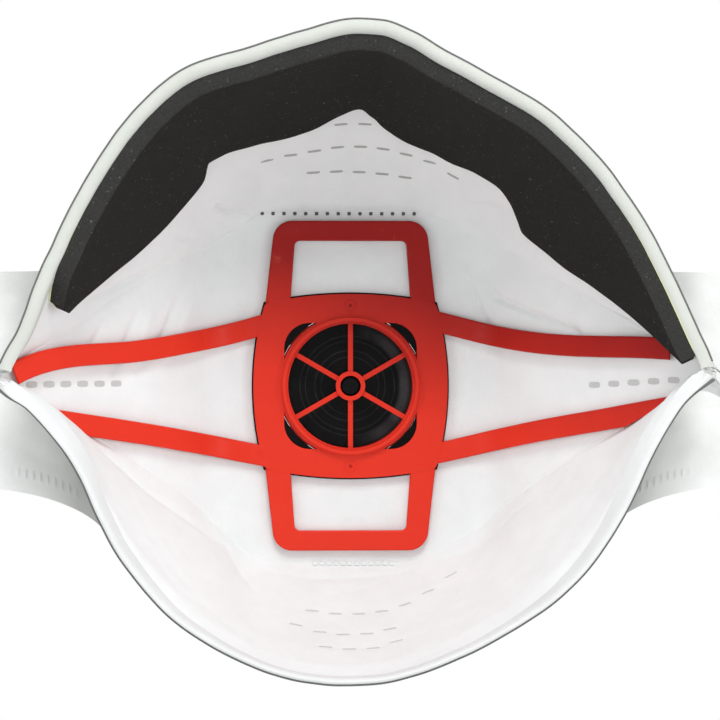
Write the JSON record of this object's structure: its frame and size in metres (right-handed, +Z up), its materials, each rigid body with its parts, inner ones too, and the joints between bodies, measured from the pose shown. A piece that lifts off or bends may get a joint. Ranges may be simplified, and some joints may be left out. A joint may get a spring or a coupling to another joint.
{
  "type": "disposable dust mask",
  "caption": "Disposable three-panel fabric dust mask with nose foam, moulded inner support frame, exhalation valve, side wings and elastic headbands.",
  "frame": {"origin": "middle of the face opening, halfway between the two side welds", "axes": "+Z up, +X towards the side weld on the right as seen from the face side, -Y towards the wearer's face, +Y out through the valve"},
  "size_m": [0.184, 0.0593, 0.1307],
  "materials": {
    "cover_fabric": "matte",
    "filter_fabric": "matte",
    "lining_fabric": "matte",
    "band_fabric": "matte",
    "foam": "matte",
    "adhesive_tape": "satin",
    "clip_metal": "satin",
    "red_plastic": "satin",
    "black_plastic": "satin",
    "black_rubber": "gloss",
    "elastic": "matte",
    "staple_wire": "satin"
  },
  "bodies": {
    "root": {"upper_outer_cover": "cover_fabric", "upper_filter_media": "filter_fabric", "upper_inner_lining": "lining_fabric", "centre_outer_cover": "cover_fabric", "centre_filter_media": "filter_fabric", "centre_inner_lining": "lining_fabric", "lower_outer_cover": "cover_fabric", "lower_filter_media": "filter_fabric", "lower_inner_lining": "lining_fabric", "upper_rim_band": "band_fabric", "lower_rim_band": "band_fabric", "nose_foam": "foam", "foam_adhesive_tape": "adhesive_tape", "nose_clip": "clip_metal", "support_frame": "red_plastic", "valve_gasket": "black_plastic", "valve_base": "black_plastic", "valve_cover": "black_plastic", "upper_headband": "elastic", "lower_headband": "elastic"},
    "diaphragm": {"exhalation_diaphragm": "black_rubber"},
    "left_wing": {"left_side_wing": "cover_fabric", "left_strap_staples": "staple_wire"},
    "right_wing": {"right_side_wing": "cover_fabric", "right_strap_staples": "staple_wire"}
  },
  "joints": [
    {"name": "diaphragm_lift", "type": "slide", "parent": "root", "child": "diaphragm", "axis": [0, 1, 0], "range_m": [0, 0.0015], "stiffness_N_per_m": 40, "springref_m": -0.0002},
    {"name": "left_wing_swing", "type": "hinge", "parent": "root", "child": "left_wing", "pos_m": [-0.06, 0.017, 0], "axis": [0, 0, -1], "range_deg": [-40, 30], "stiffness_Nm_per_rad": 0.002, "deforming": ["upper_headband", "lower_headband"]},
    {"name": "right_wing_swing", "type": "hinge", "parent": "root", "child": "right_wing", "pos_m": [0.06, 0.017, 0], "axis": [0, 0, 1], "range_deg": [-40, 30], "stiffness_Nm_per_rad": 0.002, "deforming": ["upper_headband", "lower_headband"]}
  ]
}
